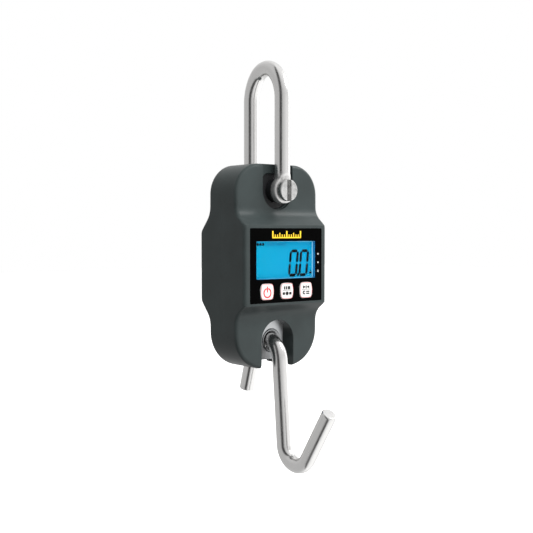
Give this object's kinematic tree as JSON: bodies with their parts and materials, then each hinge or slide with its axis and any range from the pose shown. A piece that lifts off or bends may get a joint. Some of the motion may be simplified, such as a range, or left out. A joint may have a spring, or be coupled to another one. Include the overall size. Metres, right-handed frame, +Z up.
{
  "type": "crane scale",
  "caption": "Hanging crane scale: steel shackle and slotted pin on top, load cell in a two-shell housing with back-lit display and keys, open S-hook below.",
  "frame": {"origin": "inner top of the shackle bow, where the scale hangs from a hoist hook", "axes": "+Z up along the hanging line, -Y out of the display, +X to the right seen from the front"},
  "size_m": [0.0684, 0.092, 0.2645],
  "materials": {
    "stainless_bar": "satin brushed stainless bar",
    "pin_steel": "turned steel with a milled slot",
    "load_cell_metal": "milled alloy",
    "bush_steel": "ground steel",
    "housing_front": "moulded slate-grey ABS, satin",
    "housing_rear": "moulded slate-grey ABS, satin",
    "door_plastic": "moulded slate-grey ABS, satin",
    "panel_black": "black glossy film",
    "clear_window": "clear hard-coated acrylic",
    "lcd_blue": "blue back-lit liquid crystal glass",
    "light_plate": "milky acrylic",
    "circuit_board": "green solder mask",
    "chip_black": "black epoxy",
    "key_white": "white silicone-coated key",
    "black_rubber": "matt black rubber",
    "nylon_black": "moulded black nylon",
    "zinc_screw": "zinc-plated steel",
    "nickel_contact": "nickel-plated spring steel",
    "gauge_foil": "amber polyimide with foil",
    "white_sealant": "white silicone sealant",
    "lead_red": "red PVC insulation",
    "lead_black": "black PVC insulation",
    "battery_wrap": "printed shrink wrap, plain blue",
    "insert_brass": "knurled brass insert"
  },
  "bodies": {
    "shackle": {"shackle_bow": "stainless_bar", "shackle_pin": "pin_steel"},
    "housing": {"front_shell": "housing_front", "rear_shell": "housing_rear", "shell_gasket": "black_rubber", "shell_screws": "zinc_screw", "front_pin_pad": "black_rubber", "rear_pin_pad": "black_rubber", "front_pin_spacer": "nylon_black", "rear_pin_spacer": "nylon_black", "load_cell": "load_cell_metal", "cell_screws": "zinc_screw", "strain_gauges": "gauge_foil", "gauge_sealant": "white_sealant", "gauge_leads": "lead_red", "front_panel": "panel_black", "display_window": "clear_window", "lcd_glass": "lcd_blue", "backlight": "light_plate", "main_board": "circuit_board", "board_screws": "zinc_screw", "converter_chip": "chip_black", "buzzer": "chip_black", "key_switches": "chip_black", "battery_1": "battery_wrap", "battery_2": "battery_wrap", "battery_3": "battery_wrap", "battery_springs": "nickel_contact", "battery_plates": "nickel_contact", "battery_leads": "lead_black", "door_insert": "insert_brass"},
    "key_power_body": {"key_power": "key_white"},
    "key_hold_body": {"key_hold": "key_white"},
    "key_tare_body": {"key_tare": "key_white"},
    "door": {"battery_door": "door_plastic", "door_seal": "black_rubber"},
    "door_screw_body": {"door_screw": "zinc_screw"},
    "bush": {"hook_bush": "bush_steel"},
    "hook": {"s_hook": "stainless_bar"}
  },
  "joints": [
    {"name": "housing_swing", "type": "hinge", "parent": "shackle", "child": "housing", "pos_m": [0, 0, -0.0747], "axis": [0, 1, 0], "range_deg": [-20, 20]},
    {"name": "hook_swing", "type": "hinge", "parent": "housing", "child": "bush", "pos_m": [0, 0, -0.172], "axis": [0, 1, 0], "range_deg": [-20, 20]},
    {"name": "hook_rock", "type": "hinge", "parent": "bush", "child": "hook", "pos_m": [0, 0.0003, -0.1853], "axis": [1, 0, 0], "range_deg": [-35, 25]},
    {"name": "key_power_press", "type": "slide", "parent": "housing", "child": "key_power_body", "axis": [0, 1, 0], "range_m": [0, 0.0005], "stiffness_N_per_m": 1500, "springref_m": -0.0003},
    {"name": "key_hold_press", "type": "slide", "parent": "housing", "child": "key_hold_body", "axis": [0, 1, 0], "range_m": [0, 0.0005], "stiffness_N_per_m": 1500, "springref_m": -0.0003},
    {"name": "key_tare_press", "type": "slide", "parent": "housing", "child": "key_tare_body", "axis": [0, 1, 0], "range_m": [0, 0.0005], "stiffness_N_per_m": 1500, "springref_m": -0.0003},
    {"name": "door_lift", "type": "slide", "parent": "housing", "child": "door", "axis": [0, 1, 0], "range_m": [0, 0.02]},
    {"name": "door_screw_turn", "type": "hinge", "parent": "door", "child": "door_screw_body", "pos_m": [0, 0.02, -0.1076], "axis": [0, 1, 0], "continuous": true}
  ]
}
